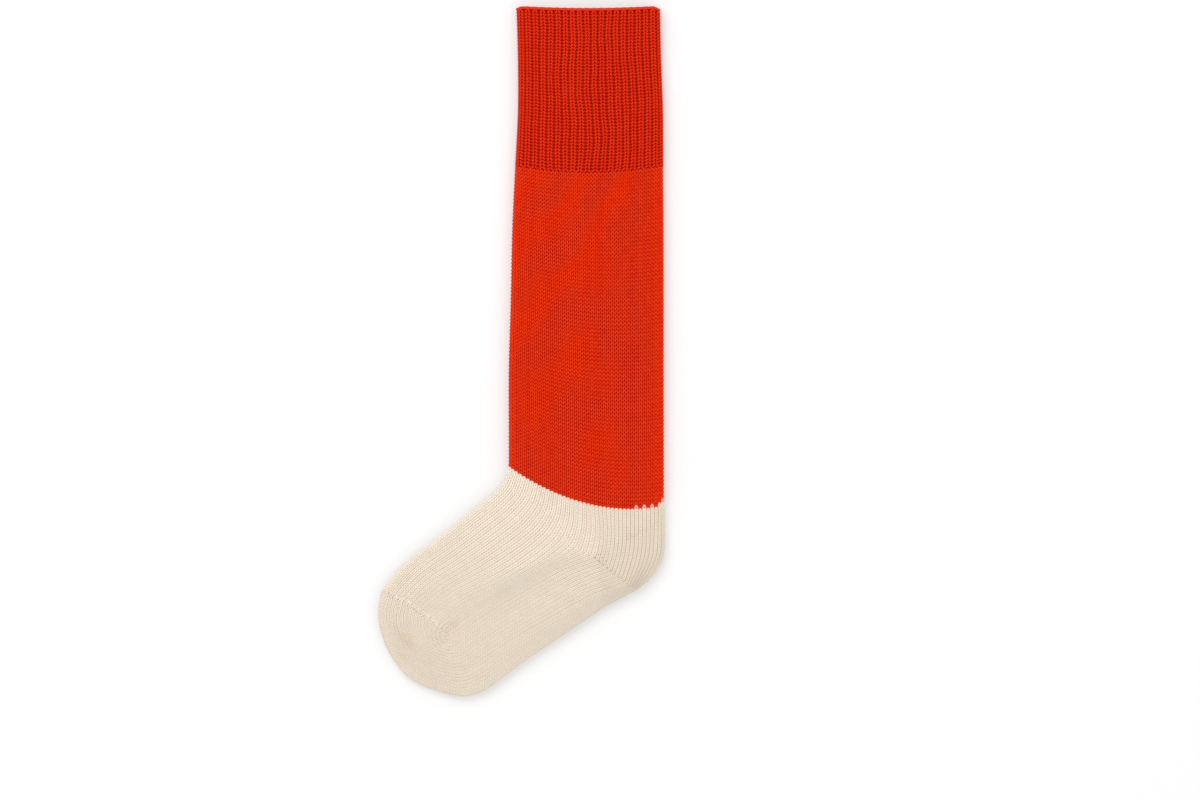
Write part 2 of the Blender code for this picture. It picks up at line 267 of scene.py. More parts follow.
# Wales whose last red stitch is cream already, from which wale all of them are, and how
# cream the stitches alone and those one course higher are
SPIKE_WALES = (33, 35, 37)
SPIKES_FROM = 39
SPIKE_ALONE = 0.6
SPIKE_HIGHER = 0.5

# How much each feature of the yarn lightens it, and how much a strand's end darkens it; the streak holds
# painted shade in the toe's dents, the ply lines are painted shade in the ply grooves, and the end darkening is
# painted shade where a strand dives under its neighbours
YarnLook = namedtuple("YarnLook", "tone streak blotch fibre ply base end")
YARN_LOOK = YarnLook(0.24, 0.14, 0.12, 0.50, 0.16, 0.42, 0.85)
DULL = 0.05

# Lamps, and the camera above: its place on the floor, the width it sees and its lens
LAMPS = table(
    "name place size power",
    ("key", (-0.55, 0.75, 1.9), 1.3, 17.0),
    ("fill", (0.9, -0.6, 2.0), 1.8, 7.0),
)
DAYLIGHT = 0.85
FLOOR_REACH = 6.0
CAMERA_PLACE = (0.0550, -0.0342)
SEEN_WIDTH = 0.84
LENS = 250.0
SENSOR = 36.0


def length(name, about, value):
    """Length in metres that a user may change."""
    return FloatProperty(name=name, description=about, default=value, unit="LENGTH")


def colour(name, about, value):
    """Colour that a user may change."""
    bounds = {"min": 0.0, "max": 1.0}
    return FloatVectorProperty(name=name, description=about, default=value, subtype="COLOR", **bounds)


def count(name, about, value):
    """Whole number that a user may change."""
    return IntProperty(name=name, description=about, default=value)


def share(name, about, value):
    """Plain number that a user may change."""
    return FloatProperty(name=name, description=about, default=value)


class SockSizes(bpy.types.PropertyGroup):
    """Sizes of the sock."""

    cuff_length: length("Cuff length", "From the mouth to the end of the ribs", 0.112)
    cuff_width: length("Cuff width", "Across the flat cuff", 0.1015)
    leg_length: length("Leg length", "From the ribs to the colour change at the front", 0.210)
    leg_width: length("Leg width", "Across the flat leg", 0.109)
    calf_extra: length("Calf extra", "How much lower the colour change is at the back", 0.028)
    heel_drop: length("Heel drop", "From the colour change to the heel corner", 0.0455)
    heel_round_back: length("Heel round, back", "Start of the rounded heel on the back", 0.0182)
    heel_round_sole: length("Heel round, sole", "End of the rounded heel on the sole", 0.0238)
    foot_length: length("Foot length", "From the heel corner to the tip", 0.192)
    foot_width: length("Foot width", "Across the flat foot", 0.110)
    toe_length: length("Toe length", "From the toe seam to the tip", 0.0415)
    foot_angle: FloatProperty(
        name="Foot angle", description="Slope of the foot below level",
        default=math.radians(34.0), subtype="ANGLE",
    )
    loft: length("Loft", "Height of the flat sock", 0.015)
    rib_depth: length("Rib depth", "How deep the channels of the ribs are", 0.0012)


class SockKnit(bpy.types.PropertyGroup):
    """Counts and sizes of the stitches."""

    cuff_courses: count("Cuff courses", "Courses of the ribbed cuff", 50)
    leg_courses: count("Leg courses", "Courses of the leg", 85)
    ankle_pitch: length("Ankle pitch", "Height of a course above the heel", 0.00222)
    foot_pitch: length("Foot pitch", "Height of a course of the foot", 0.00206)
    toe_pitch: length("Toe pitch", "Height of a course of the toe", 0.0021)
    rib_radius: share("Rib yarn", "Radius of the ribs' yarn, in stitches", 0.185)
    bar_radius: share("Channel yarn", "Radius of the channels' yarn, in stitches", 0.26)
    leg_radius: share("Leg yarn", "Radius of the leg's yarn, in wales", 0.225)
    foot_radius: share("Foot yarn", "Radius of the foot's and toe's yarn, in wales", 0.24)
    heel_radius: share("Heel yarn", "Radius of the heel's yarn, in wales", 0.22)
    seam_radius: share("Seam yarn", "Radius of the toe seam's yarn, in bars", 0.29)
    seed: count("Seed", "Seed of the yarn's small differences", 7)


class SockColours(bpy.types.PropertyGroup):
    """Colours of the yarns."""

    red: colour("Red", "Yarn of the leg", (0.88, 0.047, 0.006))
    rib_red: colour("Rib red", "Yarn of the ribbed cuff", (0.86, 0.044, 0.007))
    # Painted shade: a darker red for the depths between the stitches and for the strands' ends
    red_shade: colour("Red shade", "Red yarn between the stitches", (0.62, 0.004, 0.001))
    cream: colour("Cream", "Yarn of the foot, heel and toe", (0.905, 0.832, 0.712))
    # Painted shade: a darker cream for the depths between the stitches and for the strands' ends
    cream_shade: colour("Cream shade", "Cream yarn between the stitches", (0.820, 0.672, 0.515))
    floor: colour("Floor", "Paper that the sock lies on", (0.58, 0.58, 0.58))
    glow: share("Floor glow", "Light that the white paper lets through from below", 0.295)


def at(x, y):
    """Plan point as an array."""
    return np.array([x, y], float)


def smooth_rows(rows, places):
    """Catmull-Rom values of a table at places counted in rows."""
    rows = np.asarray(rows, float)
    last = len(rows) - 1
    places = np.clip(np.asarray(places, float), 0, last)
    index = np.minimum(places.astype(int), last - 1)
    part = (places - index)[..., None]
    before, start, end, after = (rows[np.clip(index + step, 0, last)] for step in (-1, 0, 1, 2))
    cube = part ** 3
    square = part ** 2
    return (
        start * (2 * cube - 3 * square + 1)
        + (end - before) / 2 * (cube - 2 * square + part)
        + end * (3 * square - 2 * cube)
        + (after - start) / 2 * (cube - square)
    )


def smooth_line(rows, steps):
    """Polyline through the rows with the stretches divided into steps."""
    return smooth_rows(rows, np.linspace(0, len(rows) - 1, (len(rows) - 1) * steps + 1))


def run(points):
    """Length of a polyline up to each of its points."""
    return np.concatenate([[0.0], np.cumsum(np.linalg.norm(np.diff(points, axis=0), axis=1))])


def between(places, knots, points):
    """Plan points at places, straight between the points at the knots."""
    return np.stack([np.interp(places, knots, points[:, axis]) for axis in range(2)], axis=-1)


def on_line(points, shares):
    """Points of a polyline at shares of its length."""
    sums = run(points)
    return between(shares, sums / sums[-1], points)


def on_bow(rows, place):
    """Points of bowed courses given by front, control and back points."""
    s = place[..., None]
    return rows[..., :2] * (1 - s) ** 2 + rows[..., 2:4] * 2 * s * (1 - s) + rows[..., 4:] * s ** 2


def unit(vectors, least=0.0):
    """Vectors of length one."""
    return vectors / np.maximum(np.linalg.norm(vectors, axis=-1), least)[..., None]


class SockForm:
    """Outline of the flat sock and the height and slope of its two faces."""

    def __init__(self, sizes):
        self.sizes = sizes
        angle = sizes.foot_angle
        self.corner = at(
            HEEL_BACK * sizes.leg_width,
            -sizes.cuff_length - sizes.leg_length - sizes.calf_extra - sizes.heel_drop,
        )
        self.along = at(-math.cos(angle), -math.sin(angle))
        self.across = at(-math.sin(angle), math.cos(angle))
        self.cuff = np.array([self.cuff_row(row) for row in CUFF_ROWS])
        self.leg = np.array([self.cuff[-1]] + [self.leg_row(row) for row in LEG_ROWS])
        line = self.outline_points()
        low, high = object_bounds()
        shift = (at(low[0] + high[0], low[1] + high[1]) - line.min(0) - line.max(0)) / 2
        line = line + shift
        self.corner = self.corner + shift
        self.cuff += np.tile(shift, 3)
        self.leg += np.tile(shift, 3)
        above = at(0.0, 0.08)
        self.line = np.vstack([line[:1] + above, line, line[-1:] + above])
        steps = unit(np.diff(self.line, axis=0))
        out = np.stack([steps[:, 1], -steps[:, 0]], axis=1)
        self.out = unit(np.vstack([out[:1], out[:-1] + out[1:], out[-1:]]))
        self.warp = self.edge_warp()

    def foot_point(self, along, across):
        """Point at distances along the sole from the heel corner and across the foot."""
        return self.corner + self.along * along + self.across * across

    def foot_spot(self, along, across):
        """Foot point at shares of the length before the toe and of the width."""
        sizes = self.sizes
        return self.foot_point(along * (sizes.foot_length - sizes.toe_length), across * sizes.foot_width)

    def toe_point(self, short, across):
        """Foot point at toe lengths short of the tip and a share of the width."""
        sizes = self.sizes
        return self.foot_point(sizes.foot_length - short * sizes.toe_length, across * sizes.foot_width)

    def back_point(self, rise):
        """Point straight above the heel corner, at a share of the heel's drop."""
        return self.corner + at(0, rise * self.sizes.heel_drop)

    def cuff_row(self, row):
        """Front, control and back points of a course of the cuff."""
        width = self.sizes.cuff_width
        y = -row.down * self.sizes.cuff_length
        front, back = at(-row.front * width, y), at(row.back * width, y)
        return np.concatenate([front, (front + back) / 2 - at(0, 2 * row.dip * width), back])

    def leg_row(self, row):
        """Front, control and back points of a course of the leg."""
        sizes = self.sizes
        y = -sizes.cuff_length - row.down * sizes.leg_length
        front = at(-row.front * sizes.leg_width, y)
        back = at(row.back * sizes.leg_width, y - row.slant * sizes.calf_extra)
        return np.concatenate([front, (front + back) / 2 - at(0, 2 * row.dip * sizes.leg_width), back])

    def outline_points(self):
        """Outline from the mouth down the front, round the toe and up the back."""
        sizes = self.sizes
        ankle_fronts = [self.foot_spot(*row[:2]) for row in ANKLE_ROWS]
        ankle_backs = [self.back_point(row.back_rise) for row in ANKLE_ROWS]
        foot_fronts = [self.foot_spot(*row[:2]) for row in FOOT_ROWS]
        foot_backs = [self.foot_spot(*SOLE_START)] + [self.foot_spot(*row[2:]) for row in FOOT_ROWS]
        toe_fronts = [self.toe_point(*row[:2]) for row in TOE_ROWS]
        toe_backs = [self.toe_point(*row[2:]) for row in TOE_ROWS]
        fine = 30
        fronts = (
            self.cuff[:, :2], self.leg[:, :2], [self.leg[-1, :2]] + ankle_fronts,
            ankle_fronts[-1:] + foot_fronts + toe_fronts[:1], toe_fronts,
        )
        bend_in = self.corner + at(0, sizes.heel_round_back)
        bend_out = self.foot_point(sizes.heel_round_sole, 0.0)
        turn = np.linspace(0, 1, fine + 1)[:, None]
        arc = bend_in * (1 - turn) ** 2 + self.corner * 2 * turn * (1 - turn) + bend_out * turn ** 2
        uppers = (self.cuff[:, 4:], self.leg[:, 4:], [self.leg[-1, 4:]] + ankle_backs)
        lowers = (foot_backs + toe_backs[:1], toe_backs)
        front, upper, lower = ([smooth_line(rows, fine) for rows in part] for part in (fronts, uppers, lowers))
        line = np.vstack(front + [part[::-1] for part in (upper + [arc] + lower)[::-1]])
        return on_line(line, np.linspace(0, 1, int(run(line)[-1] / OUTLINE_STEP) + 1))

    def outline_between(self, start, end):
        """Stretch of the outline between the points nearest to start and end."""
        first, last = (int(np.argmin(np.linalg.norm(self.line - spot, axis=1))) for spot in (start, end))
        part = self.line[min(first, last):max(first, last) + 1]
        return part if first <= last else part[::-1]

    def edge_warp(self):
        """Share across the plan at each even share round the rounded face."""
        turn = np.linspace(0, math.pi, 2001)
        x = (1 - np.cos(turn)) * HALF_TUBE
        z = (1 - np.abs(np.cos(turn)) ** EDGE_POWER) ** (1 / EDGE_POWER)
        z = z * self.sizes.loft * (1 - EDGE_SHARE)
        sums = run(np.stack([x, z], axis=1))
        return np.interp(np.linspace(0, sums[-1], EVEN + 1), sums, x / (2 * HALF_TUBE))

    def plan_share(self, round_share):
        """Share across the plan of a share round the face."""
        return np.interp(round_share, np.linspace(0, 1, EVEN + 1), self.warp)

    def edge_distance(self, plan):
        """Distance inside the outline and the direction out of it, for flat arrays."""
        start = self.line[:-1]
        step = self.line[1:] - start
        square = (step ** 2).sum(1)
        distance = np.empty(len(plan))
        out = np.empty((len(plan), 2))
        block = 2000
        for first in range(0, len(plan), block):
            spot = plan[first:first + block]
            away = spot[:, None] - start[None]
            part = np.clip((away * step).sum(2) / square, 0, 1)
            gap = away - part[..., None] * step
            best = np.argmin((gap ** 2).sum(2), axis=1)
            rows = np.arange(len(spot))
            part = part[rows, best][:, None]
            normal = unit(self.out[best] * (1 - part) + self.out[best + 1] * part)
            distance[first:first + block] = -(gap[rows, best] * normal).sum(1)
            out[first:first + block] = normal
        return distance, out

    def raised(self, plan, face):
        """Points of the upper (face 1) or under (face -1) side and their normals."""
        flat = plan.reshape(-1, 2)
        distance, out = self.edge_distance(flat)
        rest = 1 - np.clip(distance - EDGE_SLACK, 0, HALF_TUBE) / HALF_TUBE
        full = (1 - rest ** EDGE_POWER) ** (1 / EDGE_POWER)
        slope = rest ** (EDGE_POWER - 1) * np.maximum(full, 1e-3) ** (1 - EDGE_POWER) / HALF_TUBE
        height = self.loft_at(flat)
        edge = EDGE_SHARE * height
        if face > 0:
            dent, lean = self.dents(flat)
            z = edge + (height - edge) * full - dent * full
            tilt = out * ((height - edge) * slope)[:, None] + lean * full[:, None]
        else:
            resting = full >= REST_SHARE
            z = np.where(resting, 0.0, edge * (1 - full / REST_SHARE))
            tilt = out * np.where(resting, 0.0, edge * slope / REST_SHARE)[:, None]
        normal = unit(np.column_stack([tilt, np.full(len(flat), float(face))]))
        shape = plan.shape[:-1] + (3,)
        return np.column_stack([flat, z]).reshape(shape), normal.reshape(shape)

    def loft_at(self, plan):
        """Height of the sock, lower at the mouth and towards the tip of the toe."""
        sizes = self.sizes
        down = (self.cuff[0, 1] - plan[:, 1]) / sizes.cuff_length
        short = (sizes.foot_length - (plan - self.corner) @ self.along) / sizes.toe_length
        return sizes.loft * np.interp(down, *zip(*CUFF_LOFT)) * np.interp(short, *zip(*TOE_LOFT))

    def dents(self, plan):
        """Depth and slope of the dents, ripples and seam of the toe."""
        depth = np.zeros(len(plan))
        lean = np.zeros((len(plan), 2))
        for dent in TOE_DENTS:
            reach = dent.radius * self.sizes.toe_length
            turn = math.radians(dent.turn)
            away = (plan - self.toe_point(dent.short, dent.across)) / reach
            long, wide = at(math.cos(turn), math.sin(turn)), at(-math.sin(turn), math.cos(turn))
            over_long, over_wide = away @ long / dent.stretch, away @ wide
            fall = dent.depth * np.exp(-over_long ** 2 - over_wide ** 2)
            depth += fall
            slope = np.outer(over_long / dent.stretch, long) + np.outer(over_wide, wide)
            lean -= fall[:, None] * 2 * slope / reach
        away = plan - at(*RIPPLE_CENTRE)
        gap = np.linalg.norm(away, axis=1)
        way = unit(away, 1e-6)
        facing = np.clip(way @ at(math.cos(RIPPLE_WAY), math.sin(RIPPLE_WAY)), 0, 1)
        window = RIPPLE_HEIGHT * facing * np.exp(-((gap - RIPPLE_REACH) / RIPPLE_SPREAD) ** 2)
        pace = 2 * math.pi / RIPPLE_WAVE
        depth += window * np.cos(pace * gap)
        lean -= (window * np.sin(pace * gap) * pace)[:, None] * way
        gaps = plan[:, None] - smooth_line(SEAM_PATH, 6)[None]
        square = (gaps ** 2).sum(2)
        nearest = (np.arange(len(plan)), np.argmin(square, axis=1))
        swell = SEAM_SWELL * np.exp(-square[nearest] / SEAM_SPREAD ** 2)
        depth -= swell
        lean += swell[:, None] * 2 * gaps[nearest] / SEAM_SPREAD ** 2
        return depth, lean


def coons_patch(top, bottom, left, right, hug=1.0):
    """Plan points inside four border lines, each a function of its own share."""
    one, nil = np.ones(1), np.zeros(1)

    def plan(across, down):
        across, down = np.broadcast_arrays(across, down)
        s, t = across[..., None], down[..., None]
        off_left = left(down) - (1 - t) * top(nil) - t * bottom(nil)
        off_right = right(down) - (1 - t) * top(one) - t * bottom(one)
        return (1 - t) * top(across) + t * bottom(across) + (1 - s) * off_left + s ** hug * off_right
    return plan


def wander(across, down, strength):
    """Slow sideways drift of the wales, none at the edges."""
    wave = (
        np.sin(2 * math.pi * (1.1 * down + 0.6 * across))
        + 0.5 * np.sin(2 * math.pi * (2.1 * down - 1.3 * across + 0.3))
        + 0.25 * np.sin(2 * math.pi * (4.3 * down + 3.1 * across + 0.1))
    )
    return across + strength * np.sin(math.pi * across) * wave


def tube(rows, drift):
    """Plan of a straight tube, its courses evenly spaced along the middle."""
    places = np.linspace(0, len(rows) - 1, 401)
    sums = run(smooth_rows(rows, places)[:, 2:4])

    def plan(across, down):
        across, down = np.broadcast_arrays(across, down)
        row = smooth_rows(rows, np.interp(down, sums / sums[-1], places))
        return on_bow(row, wander(across, down, drift))
    return plan


class KnitPlan:
    """The five zones of the knit, each a plan of share across and share down."""

    def __init__(self, form):
        self.form = form
        self.apex, self.gore = at(*APEX[:2]), at(*GORE_END[:2])
        knot, corner = at(*SEAM_KNOT[:2]), at(*SOLE_CORNER[:2])
        change = form.leg[-1]
        at_apex, at_gore = (float(form.plan_share(place.wale / FACE_WALES)) for place in (APEX, GORE_END))
        instep = form.foot_spot(*ANKLE_ROWS[-1][:2])
        instep_line = form.outline_between(instep, at(*SEAM_FRONT[:2]))
        sole_line = form.outline_between(corner, at(*POUCH_BACK[:2]))
        front_line = form.outline_between(change[:2], instep)
        back_line = form.outline_between(change[4:], corner)
        tip_line = form.outline_between(sole_line[-1], instep_line[-1])
        past_gore = np.vstack([self.gore, sole_line[0]])
        bends = np.array([instep, self.apex, self.gore])
        seam = np.array([instep_line[-1], knot, sole_line[-1]])

        def lower_line(across):
            wale = np.interp(across, form.warp, np.linspace(0, FACE_WALES, EVEN + 1))
            left = np.clip((FACE_WALES - wale) / (FACE_WALES - GORE_END.wale), 0, 1)
            beyond = on_line(past_gore, 1 - left ** EDGE_CROWD)
            before = between(across, [0.0, at_apex, at_gore], bends)
            return np.where((across > at_gore)[..., None], beyond, before)

        ankle = coons_patch(
            lambda across: on_bow(change, across),
            lower_line,
            lambda down: on_line(front_line, down),
            lambda down: on_line(back_line, down),
            HEEL_HUG,
        )
        foot = coons_patch(
            lower_line,
            lambda across: between(across, [0.0, 0.5, 1.0], seam),
            lambda down: on_line(instep_line, down),
            lambda down: on_line(sole_line, down),
        )
        self.turn_together(ankle, foot, at_apex, at_gore)
        self.toe = lambda across, down: knot + (on_line(tip_line, down) - knot) * (2 * across - 1)[..., None]
        straight = tube(form.cuff, CUFF_DRIFT)

        def rounded_mouth(across, down):
            front = np.exp(-(across / MOUTH_EDGE) ** 2)
            back = MOUTH_BACK * np.exp(-((1 - across) / MOUTH_EDGE) ** 2)
            drop = MOUTH_ROUND / form.sizes.cuff_length * (front + back) * np.exp(-down / MOUTH_FADE)
            return straight(across, down + drop)
        self.cuff = rounded_mouth
        self.leg = tube(form.leg, LEG_DRIFT)

    def turn_together(self, ankle, foot, at_apex, at_gore):
        """Bend the wales so that they cross the line above the foot without a corner."""
        shares = np.linspace(0, 1, 201)
        step = 0.01
        one, nil = np.ones(201), np.zeros(201)
        into = (ankle(shares, one) - ankle(shares, one - step)) / step
        away = (foot(shares, nil + step) - foot(shares, nil)) / step
        long_in = np.linalg.norm(into, axis=1)[:, None]
        long_out = np.linalg.norm(away, axis=1)[:, None]
        common = unit(into / long_in * ANKLE_WEIGHT + away / long_out)
        shallow = at(-math.cos(GORE_SLOPE), -math.sin(GORE_SLOPE))
        parted = np.clip((shares / at_apex - PART_FROM) / (1 - PART_FROM), 0, 1)[:, None]
        parted = parted ** 2 * (3 - 2 * parted)
        to_gore = parted * np.clip((1 - shares) / (1 - at_gore), 0, 1)[:, None]
        leave = away / long_out * (1 - to_gore) + shallow * to_gore
        leave = common * (1 - parted) + leave * parted
        tip = np.interp(shares, [at_gore, 1.0], [HEEL_LEAN, CORNER_LEAN])
        enter = common * (1 - parted) - np.stack([np.sin(tip), np.cos(tip)], axis=1) * parted
        inner = BEND_SHARE * np.sin(math.pi * shares)[:, None] ** 0.5
        bend_in = (into - enter * long_in) * inner
        bend_out = (leave * long_out - away) * inner

        def ankle_plan(across, down):
            across, down = np.broadcast_arrays(across, down)
            bend = (down ** 2 * (1 - down))[..., None]
            return ankle(across, down) + bend * between(across, shares, bend_in)

        def foot_plan(across, down):
            across, down = np.broadcast_arrays(across, down)
            bend = (down * (1 - down) ** 2)[..., None]
            return foot(across, down) + bend * between(across, shares, bend_out)
        self.ankle = ankle_plan
        self.foot = foot_plan

    def in_heel(self, plan):
        """Whether plan points lie in the heel pocket."""
        away = plan - self.apex

        def side(end):
            step = end - self.apex
            return step[0] * away[..., 1] - step[1] * away[..., 0]
        top = self.form.back_point(ANKLE_ROWS[-1].back_rise)
        return (side(top) < 0) & (side(self.form.foot_spot(*SOLE_START)) > 0)


Stitches = namedtuple("Stitches", "place along across normal plan wale course hollow")


def lay_stitches(form, plan, face, wales, courses=None, pitch=None):
    """Stitches along the wales of a zone, evenly spaced over the rounded face."""
    wales = np.asarray(wales, float)
    across = form.plan_share((wales + 0.5) / FACE_WALES)
    fine = np.linspace(0, 1, 97)
    points, _ = form.raised(plan(across[:, None], fine[None]), face)
    downs, starts, ends, rows, numbers = [], [], [], [], []
    for row, line in enumerate(points):
        sums = run(line)
        number = courses or max(1, int(round(sums[-1] / pitch)))
        marks = np.interp(np.linspace(0, sums[-1], 2 * number + 1), sums, fine)
        starts.append(marks[0:-1:2])
        downs.append(marks[1::2])
        ends.append(marks[2::2])
        rows.append(np.full(number, row))
        numbers.append(np.arange(number))
    down, start, end, row, number = map(np.concatenate, (downs, starts, ends, rows, numbers))
    wale = wales[row]

    def spot(place, depth):
        return form.raised(plan(place, depth), face)[0]
    flat = plan(across[row], down)
    place, normal = form.raised(flat, face)
    along = spot(across[row], end) - spot(across[row], start)
    left, right = (form.plan_share((wale + side) / FACE_WALES) for side in (0, 1))
    aside = spot(right, down) - spot(left, down)
    hollow = np.maximum(form.dents(flat)[0], 0) * (face > 0)
    return Stitches(place, along, aside, normal, flat, wale, number, hollow)


def picked(stitches, mask):
    """The stitches where the mask is true."""
    return Stitches(*(part[mask] for part in stitches))


def seam_bars(form, face):
    """Bars of yarn on a face, each long way across the toe seam."""
    line = smooth_line(SEAM_PATH, 20)
    order = np.arange(SEAM_BARS)
    places = (order + 0.5) / SEAM_BARS
    spots = on_line(line, places)
    step, reach = 0.01, 0.0004
    ahead = unit(on_line(line, np.minimum(places + step, 1.0)) - on_line(line, places - step))
    place, normal = form.raised(spots, face)
    along = unit(form.raised(spots + ahead * reach, face)[0] - place) * run(line)[-1] / SEAM_BARS
    across = unit(np.cross(normal, along)) * SEAM_BAR_LENGTH
    return Stitches(place, along, across, normal, spots, order % FACE_WALES, order, order * 0.0)


def stitch_frames(stitches, width_share):
    """Turn, as quaternions, and size of each stitch."""
    normal = stitches.normal
    along = stitches.along - (stitches.along * normal).sum(1)[:, None] * normal
    height = np.linalg.norm(along, axis=1)
    along = unit(along, 1e-9)
    side = np.cross(along, normal)
    width = np.abs((stitches.across * side).sum(1)) * width_share
    turns = [Matrix(axes).transposed().to_quaternion() for axes in zip(side, along, normal)]
    return np.array(turns), width, height


class Wire:
    """A socket that can be used in arithmetic."""

    def __init__(self, nodes, socket):
        self.nodes = nodes
        self.socket = socket

    def __add__(self, other):
        return self.nodes.maths("ADD", self, other)

    def __sub__(self, other):
        return self.nodes.maths("SUBTRACT", self, other)

    def __mul__(self, other):
        return self.nodes.maths("MULTIPLY", self, other)

    def __rsub__(self, other):
        return self.nodes.maths("SUBTRACT", other, self)

    __radd__ = __add__
    __rmul__ = __mul__


class Nodes:
    """Nodes of one tree, written as expressions."""

    def __init__(self, tree):
        self.tree = tree

    def feed(self, socket, value):
        if isinstance(value, Wire):
            self.tree.links.new(value.socket, socket)
        else:
            socket.default_value = value

    def node(self, kind, settings=None, output=0, **inputs):
        made = self.tree.nodes.new(kind)
        for key, value in (settings or {}).items():
            setattr(made, key, value)
        for key, value in inputs.items():
            self.feed(made.inputs[key.replace("_", " ")], value)
        return Wire(self, made.outputs[output]) if made.outputs else None

    def maths(self, operation, *values):
        made = self.tree.nodes.new("ShaderNodeMath")
        made.operation = operation
        for socket, value in zip(made.inputs, values):
            self.feed(socket, value)
        return Wire(self, made.outputs[0])


def loops_tree(name, strands):
    """Geometry nodes that put a loop of yarn on each point of a mesh."""
    tree = bpy.data.node_groups.new(name, "GeometryNodeTree")
    faces = tree.interface
    faces.new_socket("Knit", in_out="OUTPUT", socket_type="NodeSocketGeometry")
    faces.new_socket("Points", in_out="INPUT", socket_type="NodeSocketGeometry")
    faces.new_socket("Material", in_out="INPUT", socket_type="NodeSocketMaterial")
    for label, kind, value in (
        ("Strand Radius", "NodeSocketFloat", 0.25),
        ("Strand Sides", "NodeSocketInt", 5),
        ("Strand Points", "NodeSocketInt", STRAND_POINTS),
        ("Seed", "NodeSocketInt", 0),
    ):
        faces.new_socket(label, in_out="INPUT", socket_type=kind).default_value = value

    nodes = Nodes(tree)
    node, maths = nodes.node, nodes.maths
    source = tree.nodes.new("NodeGroupInput").outputs
    given = {socket.name: Wire(nodes, socket) for socket in source if socket.name}
    spline = node("GeometryNodeSplineParameter", output="Factor")
    named = {"data_type": "FLOAT", "domain": "POINT"}
    round_ring = {"mode": "RADIUS"}
    ring = node("GeometryNodeCurvePrimitiveCircle", round_ring, Resolution=given["Strand Sides"], Radius=1.0)
    ring = node("GeometryNodeStoreNamedAttribute", named, Geometry=ring, Name="around", Value=spline)
    bulge = maths("SINE", maths("MULTIPLY", spline, math.pi))
    thick = maths("MULTIPLY", maths("MULTIPLY_ADD", bulge, 1 - STRAND_END, STRAND_END), given["Strand Radius"])
    loop = node("GeometryNodeJoinGeometry")
    for strand in strands:
        curve = node(
            "GeometryNodeCurveQuadraticBezier",
            Resolution=CURVE_STEPS, Start=strand.start, Middle=strand.middle, End=strand.end,
        )
        curve = node("GeometryNodeResampleCurve", {"mode": "COUNT"}, Curve=curve, Count=given["Strand Points"])
        curve = node("GeometryNodeStoreNamedAttribute", named, Geometry=curve, Name="along", Value=spline)
        body = node("GeometryNodeCurveToMesh", Curve=curve, Profile_Curve=ring, Scale=thick, Fill_Caps=True)
        nodes.feed(loop.socket.node.inputs["Geometry"], body)
    laid = node(
        "GeometryNodeInstanceOnPoints",
        Points=given["Points"], Instance=loop,
        Rotation=node("GeometryNodeInputNamedAttribute", {"data_type": "QUATERNION"}, "Attribute", Name="turn"),
        Scale=node("GeometryNodeInputNamedAttribute", {"data_type": "FLOAT_VECTOR"}, "Attribute", Name="size"),
    )
    lot = node("FunctionNodeRandomValue", {"data_type": "FLOAT"}, "Value", Seed=given["Seed"])
    whole = {"data_type": "FLOAT", "domain": "INSTANCE"}
    laid = node("GeometryNodeStoreNamedAttribute", whole, Geometry=laid, Name="tone", Value=lot)
    real = node("GeometryNodeRealizeInstances", Geometry=laid)
    smooth = node("GeometryNodeSetShadeSmooth", Geometry=real)
    finished = node("GeometryNodeSetMaterial", Geometry=smooth, Material=given["Material"])
    node("NodeGroupOutput", Knit=finished)
    return tree


def spread_value(mesh, label, kind, field, values):
    """Store values on the points of a mesh."""
    spread = mesh.attributes.new(label, kind, "POINT")
    spread.data.foreach_set(field, np.asarray(values, np.float32).ravel())


def grown(stitches, tree, material, radius, face, width_share=1.0, sink=0.0, blend=None, slim=False):
    """Mesh of the loops that the tree puts on the stitches, slim ones round in section."""
    seed = bpy.context.scene.sock_knit.seed
    turns, width, height = stitch_frames(stitches, width_share)
    points = bpy.data.meshes.new("stitch_points")
    points.vertices.add(len(turns))
    places = stitches.place - stitches.normal * sink
    points.vertices.foreach_set("co", places.astype(np.float32).ravel())
    streaks = np.random.default_rng(seed).random(4 * FACE_WALES)[stitches.wale.astype(int)]
    rise = height if slim else width
    spread_value(points, "turn", "QUATERNION", "value", turns)
    spread_value(points, "size", "FLOAT_VECTOR", "vector", np.column_stack([width, height, rise]))
    spread_value(points, "blend", "FLOAT", "value", np.zeros(len(turns)) if blend is None else blend)
    # The streak value is a random streak of each wale, darkened by painted shade in the toe's dents
    spread_value(points, "streak", "FLOAT", "value", streaks - HOLLOW_SHADE * stitches.hollow)
    holder = bpy.data.objects.new("stitch_points", points)
    bpy.context.scene.collection.objects.link(holder)
    modifier = holder.modifiers.new("Loops", "NODES")
    modifier.node_group = tree
    values = {
        "Material": material,
        "Strand Radius": radius,
        "Strand Sides": 5 if face > 0 else 4,
        "Strand Points": STRAND_POINTS,
        "Seed": seed if face > 0 else seed + 1,
    }
    for item in tree.interface.items_tree:
        if item.in_out == "INPUT" and item.name in values:
            modifier[item.identifier] = values[item.name]
    bpy.context.view_layer.update()
    graph = bpy.context.evaluated_depsgraph_get()
    mesh = bpy.data.meshes.new_from_object(holder.evaluated_get(graph))
    bpy.data.objects.remove(holder)
    bpy.data.meshes.remove(points)
    for extra in ("turn", "size"):
        if extra in mesh.attributes:
            mesh.attributes.remove(mesh.attributes[extra])
    return mesh


def show(name, meshes, node):
    """Join meshes to a piece that rides on the body and stands for its node."""
    parts = [bpy.data.objects.new(name, mesh) for mesh in meshes]
    for part in parts:
        bpy.context.scene.collection.objects.link(part)
    piece = parts[0]
    if len(parts) > 1:
        chosen = {"selected_editable_objects": parts, "selected_objects": parts}
        with bpy.context.temp_override(active_object=piece, **chosen):
            bpy.ops.object.join()
    piece.name = name
    piece.data.name = name
    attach(piece, "root")
    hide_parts(node)


